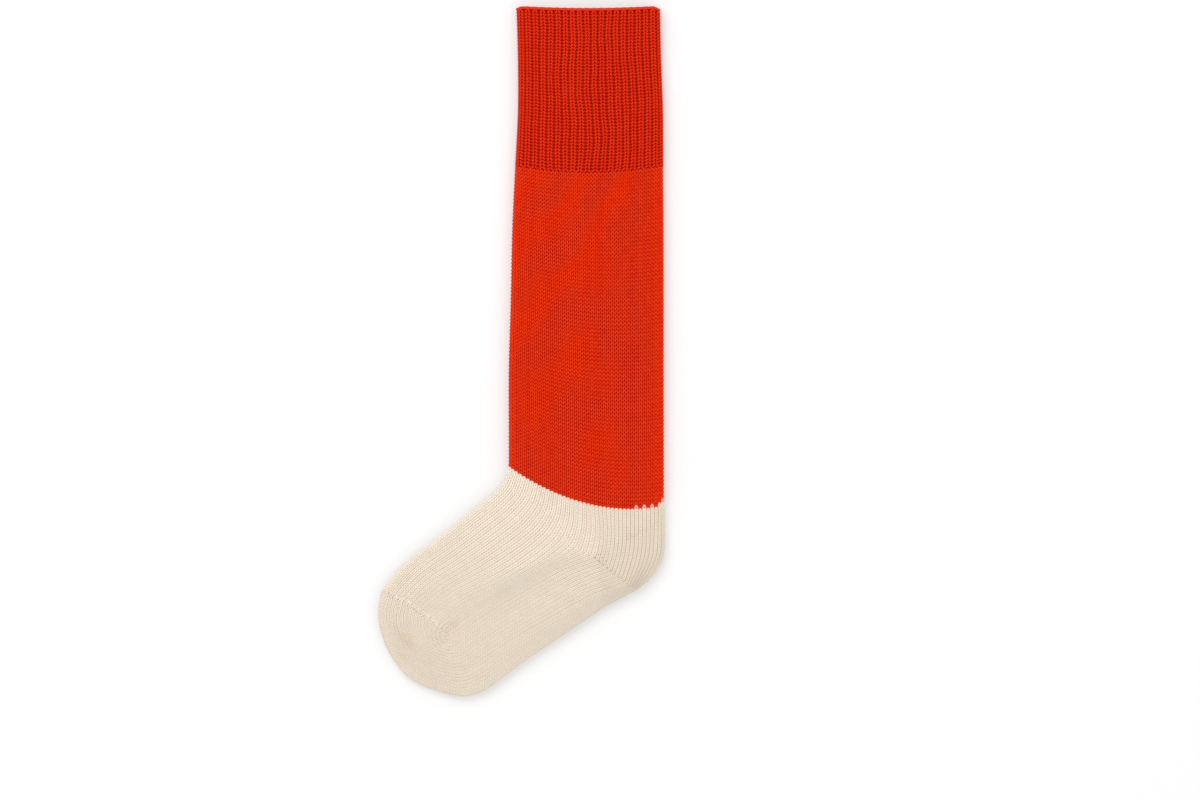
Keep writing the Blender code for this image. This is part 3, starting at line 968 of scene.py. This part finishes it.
def ground_grid(form, plan, face, wales, downs, depth=0.0):
    """Points, normals, cell centres and face of one side of a zone's cloth."""
    across = form.plan_share(np.asarray(wales, float) / FACE_WALES)
    flat = plan(across[:, None], np.asarray(downs, float)[None])
    place, normal = form.raised(flat, face)
    centre = (flat[:-1, :-1] + flat[1:, :-1] + flat[:-1, 1:] + flat[1:, 1:]) / 4
    return place - normal * depth, normal, centre, face


def mesh_of(build, name, material):
    """Smooth mesh with one material, made of a finished build."""
    mesh = bpy.data.meshes.new(name)
    build.to_mesh(mesh)
    build.free()
    mesh.shade_smooth()
    mesh.materials.append(material)
    return mesh


def ground_mesh(grids, material, ground, keep=None):
    """Closed cloth under the stitches, from grids of the two faces."""
    build = bmesh.new()
    inward = build.verts.layers.float_vector.new("inward")
    for place, normal, centre, face in grids:
        lowered = place - normal * ground.sink
        rows, columns = place.shape[:2]
        verts = [[build.verts.new(lowered[i, j]) for j in range(columns)] for i in range(rows)]
        for i in range(rows):
            for j in range(columns):
                verts[i][j][inward] = -normal[i, j]
        for i in range(rows - 1):
            for j in range(columns - 1):
                if keep is not None and not keep(centre[i, j]):
                    continue
                corners = [verts[i][j], verts[i][j + 1], verts[i + 1][j + 1], verts[i + 1][j]]
                build.faces.new(corners if face > 0 else corners[::-1])
    bmesh.ops.remove_doubles(build, verts=build.verts[:], dist=0.00012)
    bmesh.ops.dissolve_degenerate(build, edges=build.edges[:], dist=0.00005)
    bmesh.ops.delete(build, geom=[vert for vert in build.verts if not vert.link_faces], context="VERTS")
    outer = build.faces[:]
    rims = [edge for edge in build.edges if len(edge.link_faces) == 1]
    below = {vert: build.verts.new(vert.co + vert[inward] * ground.wall) for vert in build.verts[:]}
    for face in outer:
        build.faces.new([below[vert] for vert in reversed(face.verts)])
    for edge in rims:
        start, end = edge.verts
        build.faces.new([end, start, below[start], below[end]])
    bmesh.ops.recalc_face_normals(build, faces=build.faces[:])
    return mesh_of(build, "ground", material)


class Graph(Nodes):
    """Nodes of one material."""

    def __init__(self, name):
        self.material = bpy.data.materials.new(name)
        self.material.use_nodes = True
        super().__init__(self.material.node_tree)
        self.shader = self.tree.nodes["Principled BSDF"]

    def mix(self, factor, first, second):
        made = self.tree.nodes.new("ShaderNodeMix")
        made.data_type = "RGBA"
        for number, value in ((0, factor), (6, first), (7, second)):
            self.feed(made.inputs[number], value)
        return Wire(self, made.outputs[2])

    def where(self):
        return self.node("ShaderNodeTexCoord", output="Object")

    def noise(self, scale, detail=2.0):
        return self.node("ShaderNodeTexNoise", Vector=self.where(), Scale=scale, Detail=detail)

    def attribute(self, name):
        return self.node("ShaderNodeAttribute", {"attribute_name": name}, output="Fac")

    def bump(self, height, strength, distance):
        return self.node("ShaderNodeBump", Height=height, Strength=strength, Distance=distance, output="Normal")

    def output(self, **values):
        for key, value in values.items():
            self.feed(self.shader.inputs[key.replace("_", " ")], value)


def tinted(colour, factor=1.0):
    """A colour with its alpha, made darker or lighter."""
    return tuple(min(1.0, value * factor) for value in colour) + (1.0,)


def yarn_material(name, light, deep, other=None):
    """Matt twisted yarn: plies, fibres and small differences between stitches, mixed from the light colour
    towards the deep one, which is painted shade at the strands' ends, in the ply grooves and in the toe's
    dents.
    """
    graph = Graph(name)
    look = YARN_LOOK
    along = graph.attribute("along")
    fibre = graph.noise(3200.0, 3.0)
    # Painted shade: the strand darkens towards its ends, where it dives under its neighbours
    end = graph.maths("ABSOLUTE", along - 0.5) * 2.0
    # Painted shade in the ply grooves, also used for their bump
    ply = graph.maths("SINE", (along * 2.0 + graph.attribute("around") * 2.0) * (2 * math.pi))
    level = (
        graph.attribute("tone") * look.tone
        + graph.attribute("streak") * look.streak
        + graph.noise(70.0) * look.blotch
        + fibre * look.fibre
        + ply * look.ply
        + look.base
        - end * end * look.end
    )
    base = graph.mix(graph.node("ShaderNodeClamp", Value=level), deep, light)
    if other is not None:
        base = graph.mix(graph.attribute("blend"), base, other)
    graph.output(
        Base_Color=base,
        Roughness=0.84 + fibre * 0.12,
        Normal=graph.bump(ply * 0.5 + fibre * 0.9, 0.6, 0.0004),
        Specular_IOR_Level=DULL,
    )
    return graph.material


def ground_material(name, tint):
    """Depths between the stitches in a darkened colour that is painted shade, with the small bumps of the inner
    face.
    """
    graph = Graph(name)
    fibre = graph.noise(3000.0, 3.0)
    lump = graph.node("ShaderNodeTexVoronoi", Vector=graph.where(), Scale=420.0)
    scaled = {"operation": "SCALE"}
    graph.output(
        Base_Color=graph.node("ShaderNodeVectorMath", scaled, Vector=tint[:3], Scale=0.62 + fibre * 0.3),
        Roughness=0.85 + fibre * 0.1,
        Normal=graph.bump(lump * -1.0 + fibre * 0.3, 0.7, 0.0006),
        Specular_IOR_Level=DULL,
    )
    return graph.material


_kept = {}


def workshop(context):
    """Form, knit plan, trees and materials, made once."""
    if not _kept:
        scene = context.scene
        form = SockForm(scene.sock_sizes)
        hues = scene.sock_colours
        red_shade, cream = tinted(hues.red_shade), tinted(hues.cream)
        # Painted shade: the bars down in the channels are the rib red darkened
        rib_red, shaded_rib = tinted(hues.rib_red), tinted(hues.rib_red, 0.75)
        # The seam's deep colour is the cream darkened as painted shade
        seam_light, seam_shade = tinted(hues.cream, 1.02), tinted(hues.cream, 0.94)
        _kept.update(
            form=form,
            knit=KnitPlan(form),
            stitch=loops_tree("Leg Stitches", LEG_STRANDS),
            foot_stitch=loops_tree("Foot Stitches", FOOT_STRANDS),
            bar=loops_tree("Rib Bars", BAR_STRANDS),
            seam_bar=loops_tree("Seam Bars", SEAM_STRANDS),
            rib_stitch=loops_tree("Rib Stitches", RIB_STRANDS),
            red=yarn_material("red_yarn_knit", tinted(hues.red), red_shade, cream),
            rib_red=yarn_material("rib_red_yarn_knit", rib_red, red_shade),
            bar_red=yarn_material("rib_red_yarn_purl_shaded", shaded_rib, tinted(hues.red_shade, 0.6)),
            cream=yarn_material("cream_yarn_knit", cream, tinted(hues.cream_shade)),
            seam=yarn_material("cream_yarn_seam", seam_light, seam_shade),
            # Painted shade: the cloth under the stitches takes the shade colours, darker still
            red_ground=ground_material("red_yarn_depths", tinted(hues.red_shade, 0.62)),
            rib_ground=ground_material("rib_red_yarn_depths", tinted(hues.red_shade, 0.72)),
            cream_ground=ground_material("cream_yarn_depths", tinted(hues.cream_shade, 1.05)),
            # Painted shade: the eyelets take the colour of the shaded inside of the holes
            eyelet=ground_material("eyelet_holes_painted_shade", tinted(hues.cream_shade, 0.50)),
        )
    return _kept


def welt_mesh(kit):
    """Smooth rounded welt round the mouth, scalloped by the ribs."""
    form = kit["form"]
    across = form.plan_share(np.linspace(0, 1, FACE_WALES // 2 * WELT_STEPS + 1))
    sides = [form.raised(kit["knit"].cuff(across, np.full(len(across), WELT_DOWN)), face) for face in (1, -1)]
    places, normals = (np.vstack([upper[:-1], under[::-1][:-1]]) for upper, under in zip(*sides))
    order = np.arange(len(places))
    scallop = np.cos(2 * math.pi * (order / WELT_STEPS - 0.25))
    flat = WELT_FLAT + WELT_FLAT_SCALLOP * scallop
    tall = WELT_TALL + WELT_TALL_SCALLOP * scallop
    centre = places - normals * flat[:, None]
    down = np.cross(unit(np.roll(centre, -1, axis=0) - np.roll(centre, 1, axis=0)), normals)
    build = bmesh.new()
    section = 10
    turns = [2 * math.pi * side / section for side in range(section)]
    rings = [
        [
            build.verts.new(
                centre[i] + normals[i] * flat[i] * math.cos(turn) + down[i] * tall[i] * math.sin(turn)
            )
            for turn in turns
        ]
        for i in order
    ]
    for here, there in zip(rings, rings[1:] + rings[:1]):
        for side in range(section):
            beside = (side + 1) % section
            build.faces.new([here[side], there[side], there[beside], here[beside]])
    bmesh.ops.recalc_face_normals(build, faces=build.faces[:])
    mesh = mesh_of(build, "welt", kit["rib_red"])
    # Even values for the yarn shader, the along value darkening the welt by part of the painted end shade
    for label, value in (("tone", 0.3), ("streak", 0.3), ("along", 0.20)):
        spread_value(mesh, label, "FLOAT", "value", np.full(len(mesh.vertices), value))
    return mesh


class SOCK_OT_cuff(bpy.types.Operator):
    """Knit the ribbed cuff with its welt"""

    bl_idname = "sock.cuff"
    bl_label = "Ribbed Cuff"

    def execute(self, context):
        kit = workshop(context)
        form, plan = kit["form"], kit["knit"].cuff
        knit, depth = context.scene.sock_knit, context.scene.sock_sizes.rib_depth
        courses = knit.cuff_courses
        meshes, grids = [], []
        downs = np.linspace(GROUND_START, 1, courses // 2 + 1)
        opened = np.clip((downs - GROUND_START) / CHANNEL_START, 0, 1)
        wales = np.arange(0, FACE_WALES * 4 + 1) / 4
        channel = np.clip((np.abs(np.mod(wales, 2.0) - 0.5) - RIB_HALF) / RIB_FLANK, 0, 1)
        lowered = (depth * channel[:, None] * opened)[..., None]
        for face in (1, -1):
            stitches = lay_stitches(form, plan, face, range(FACE_WALES), courses)
            ribs = picked(stitches, (stitches.wale % 2 == 0) & (stitches.course > 0))
            bars = picked(stitches, (stitches.wale % 2 == 1) & (stitches.course > 1))
            meshes.append(grown(ribs, kit["rib_stitch"], kit["rib_red"], knit.rib_radius, face, RIB_WIDTH))
            meshes.append(grown(bars, kit["bar"], kit["bar_red"], knit.bar_radius, face, BAR_WIDTH, depth))
            grids.append(ground_grid(form, plan, face, wales, downs, lowered))
        show("ribbed_cuff_stitches", meshes + [welt_mesh(kit)], "ribbed_cuff")
        ground = ground_mesh(grids, kit["rib_ground"], RIB_GROUND)
        show("ribbed_cuff_ground", [ground], "ribbed_cuff")
        return {"FINISHED"}


def spikes(stitches, courses):
    """Cream stitches that reach up into the last red courses towards the back."""
    left = courses - 1 - stitches.course
    wale = stitches.wale
    alone = (left == 0) & np.isin(wale, SPIKE_WALES)
    first = (left == 0) & (wale >= SPIKES_FROM)
    more = (left == 1) & (wale >= SPIKES_FROM + 1)
    return first + SPIKE_ALONE * alone + SPIKE_HIGHER * more


class SOCK_OT_leg(bpy.types.Operator):
    """Knit the plain leg"""

    bl_idname = "sock.leg"
    bl_label = "Leg"

    def execute(self, context):
        kit = workshop(context)
        form, plan = kit["form"], kit["knit"].leg
        knit = context.scene.sock_knit
        grids = []
        for face, name in ((1, "leg_upper_stitches"), (-1, "leg_under_stitches")):
            stitches = lay_stitches(form, plan, face, range(FACE_WALES), knit.leg_courses)
            spike = spikes(stitches, knit.leg_courses)
            mesh = grown(stitches, kit["stitch"], kit["red"], knit.leg_radius, face, blend=spike)
            show(name, [mesh], "leg")
            grids.append(ground_grid(form, plan, face, range(FACE_WALES + 1), np.linspace(0, 1, 43)))
        show("leg_ground", [ground_mesh(grids, kit["red_ground"], PLAIN_GROUND)], "leg")
        return {"FINISHED"}


def eyelet_mesh(kit, face):
    """Eyelets along the gore line as dark sunk blobs, their colour painted shade of the holes, smaller towards
    its end.
    """
    form, plans = kit["form"], kit["knit"]
    build = bmesh.new()
    flat = Matrix.Diagonal((1.0, 1.0, EYELET_FLATNESS, 1.0))
    for row in EYELET_ROWS:
        steps = EYELET_STEP * np.arange(row.count)[:, None]
        place, normal = form.raised(plans.apex + at(row.x, row.y) + (plans.gore - plans.apex) * steps, face)
        for number in range(row.count):
            radius = row.radius * (1.0 - EYELET_TAPER * number / row.count)
            turn = Vector(normal[number]).to_track_quat("Z", "Y").to_matrix().to_4x4()
            where = Matrix.Translation(Vector(place[number] - normal[number] * EYELET_SINK)) @ turn
            bmesh.ops.create_uvsphere(build, u_segments=10, v_segments=6, radius=radius, matrix=where @ flat)
    return mesh_of(build, "eyelets", kit["eyelet"])


class SOCK_OT_foot(bpy.types.Operator):
    """Knit the foot and the heel pocket, which share their wales"""

    bl_idname = "sock.foot"
    bl_label = "Foot and Heel"

    def execute(self, context):
        kit = workshop(context)
        form, plans = kit["form"], kit["knit"]
        knit = context.scene.sock_knit
        grids, heel_meshes = [], []
        wales, lines = range(FACE_WALES), range(FACE_WALES + 1)
        for face, name in ((1, "foot_upper_stitches"), (-1, "foot_under_stitches")):
            ankle = lay_stitches(form, plans.ankle, face, wales, pitch=knit.ankle_pitch)
            foot = lay_stitches(form, plans.foot, face, wales, pitch=knit.foot_pitch)
            both = Stitches(*(np.concatenate(parts) for parts in zip(ankle, foot)))
            pocket = plans.in_heel(both.plan)
            slender = SLIM_STITCH * np.clip((ankle.wale - SLIM_FROM) / (SLIM_AT - SLIM_FROM), 0, 1)
            width = 1 - np.concatenate([slender, np.zeros(len(foot.wale))])
            made = [
                grown(picked(both, part), kit["foot_stitch"], kit["cream"], radius, face, width[part])
                for part, radius in ((~pocket, knit.foot_radius), (pocket, knit.heel_radius))
            ]
            heel_meshes += [made[1], eyelet_mesh(kit, face)]
            show(name, made[:1], "foot")
            grids.append(ground_grid(form, plans.ankle, face, lines, np.linspace(0, 1, 12)))
            grids.append(ground_grid(form, plans.foot, face, lines, np.linspace(0, 1, 31)))
        show("heel_stitches", heel_meshes, "heel")
        for name, node, inside in (("foot_ground", "foot", False), ("heel_ground", "heel", True)):
            keep = lambda spot: bool(plans.in_heel(spot)) == inside
            show(name, [ground_mesh(grids, kit["cream_ground"], PLAIN_GROUND, keep)], node)
        return {"FINISHED"}


class SOCK_OT_toe(bpy.types.Operator):
    """Knit the toe pouch and its raised seam"""

    bl_idname = "sock.toe"
    bl_label = "Toe"

    def execute(self, context):
        kit = workshop(context)
        form, plan = kit["form"], kit["knit"].toe
        knit = context.scene.sock_knit
        meshes, grids = [], []
        half = FACE_WALES // 2
        for face, sink in ((1, -SEAM_RISE), (-1, SEAM_SINK_BELOW)):
            stitches = lay_stitches(form, plan, face, range(half, FACE_WALES), pitch=knit.toe_pitch)
            meshes.append(grown(stitches, kit["foot_stitch"], kit["cream"], knit.foot_radius, face))
            bars, tree = seam_bars(form, face), kit["seam_bar"]
            meshes.append(grown(bars, tree, kit["seam"], knit.seam_radius, face, sink=sink, slim=True))
            grids.append(ground_grid(form, plan, face, range(half, FACE_WALES + 1), np.linspace(0, 1, 41)))
        show("toe_stitches", meshes, "toe")
        show("toe_ground", [ground_mesh(grids, kit["cream_ground"], PLAIN_GROUND)], "toe")
        return {"FINISHED"}


class SOCK_OT_stage(bpy.types.Operator):
    """Set the white floor, the soft light and the camera above"""

    bl_idname = "sock.stage"
    bl_label = "Stage"

    def execute(self, context):
        scene = context.scene
        scene.view_settings.view_transform = "Standard"
        mesh = bpy.data.meshes.new("floor")
        corners = [(x * FLOOR_REACH, y * FLOOR_REACH, 0) for x, y in ((-1, -1), (1, -1), (1, 1), (-1, 1))]
        mesh.from_pydata(corners, [], [(0, 1, 2, 3)])
        floor = bpy.data.objects.new("floor", mesh)
        scene.collection.objects.link(floor)
        graph = Graph("floor_paper")
        graph.output(
            Base_Color=tinted(scene.sock_colours.floor),
            Emission_Color=(1.0, 1.0, 1.0, 1.0),
            Emission_Strength=scene.sock_colours.glow,
            Roughness=0.84 + graph.noise(160.0) * 0.12,
        )
        mesh.materials.append(graph.material)
        floor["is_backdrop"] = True
        world = bpy.data.worlds.new("studio")
        world.use_nodes = True
        sky = world.node_tree.nodes["Background"].inputs
        sky["Color"].default_value = (1.0, 1.0, 1.0, 1.0)
        sky["Strength"].default_value = DAYLIGHT
        scene.world = world
        for lamp in LAMPS:
            data = bpy.data.lights.new(lamp.name, "AREA")
            data.size = lamp.size
            data.energy = lamp.power
            light = bpy.data.objects.new(lamp.name, data)
            light.location = lamp.place
            light.rotation_euler = (-Vector(lamp.place)).to_track_quat("-Z", "Y").to_euler()
            scene.collection.objects.link(light)
        lens = bpy.data.cameras.new("camera")
        lens.lens = LENS
        lens.sensor_width = SENSOR
        lens.clip_end = 20.0
        camera = bpy.data.objects.new("camera", lens)
        camera.location = CAMERA_PLACE + (SEEN_WIDTH * LENS / SENSOR,)
        scene.collection.objects.link(camera)
        scene.camera = camera
        return {"FINISHED"}


OPERATORS = (SOCK_OT_cuff, SOCK_OT_leg, SOCK_OT_foot, SOCK_OT_toe, SOCK_OT_stage)


class SOCK_PT_panel(bpy.types.Panel):
    """Sizes, colours and steps of the sock."""

    bl_label = "Rugby Sock"
    bl_idname = "SOCK_PT_panel"
    bl_space_type = "VIEW_3D"
    bl_region_type = "UI"
    bl_category = "Sock"

    def draw(self, context):
        scene = context.scene
        for group in (scene.sock_sizes, scene.sock_knit, scene.sock_colours):
            box = self.layout.box()
            for name in group.__annotations__:
                box.prop(group, name)
        for operator in OPERATORS:
            self.layout.operator(operator.bl_idname)


GROUPS = {"sock_sizes": SockSizes, "sock_knit": SockKnit, "sock_colours": SockColours}
CLASSES = tuple(GROUPS.values()) + OPERATORS + (SOCK_PT_panel,)


def register():
    """Register the groups, the operators and the panel."""
    for kind in CLASSES:
        bpy.utils.register_class(kind)
    for name, group in GROUPS.items():
        setattr(bpy.types.Scene, name, PointerProperty(type=group))


def unregister():
    """Take everything back out."""
    for name in GROUPS:
        delattr(bpy.types.Scene, name)
    for kind in reversed(CLASSES):
        bpy.utils.unregister_class(kind)


def main():
    """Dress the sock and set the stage."""
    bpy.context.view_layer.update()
    register()
    bpy.ops.sock.cuff()
    bpy.ops.sock.leg()
    bpy.ops.sock.foot()
    bpy.ops.sock.toe()
    bpy.ops.sock.stage()


if __name__ == "__main__":
    main()
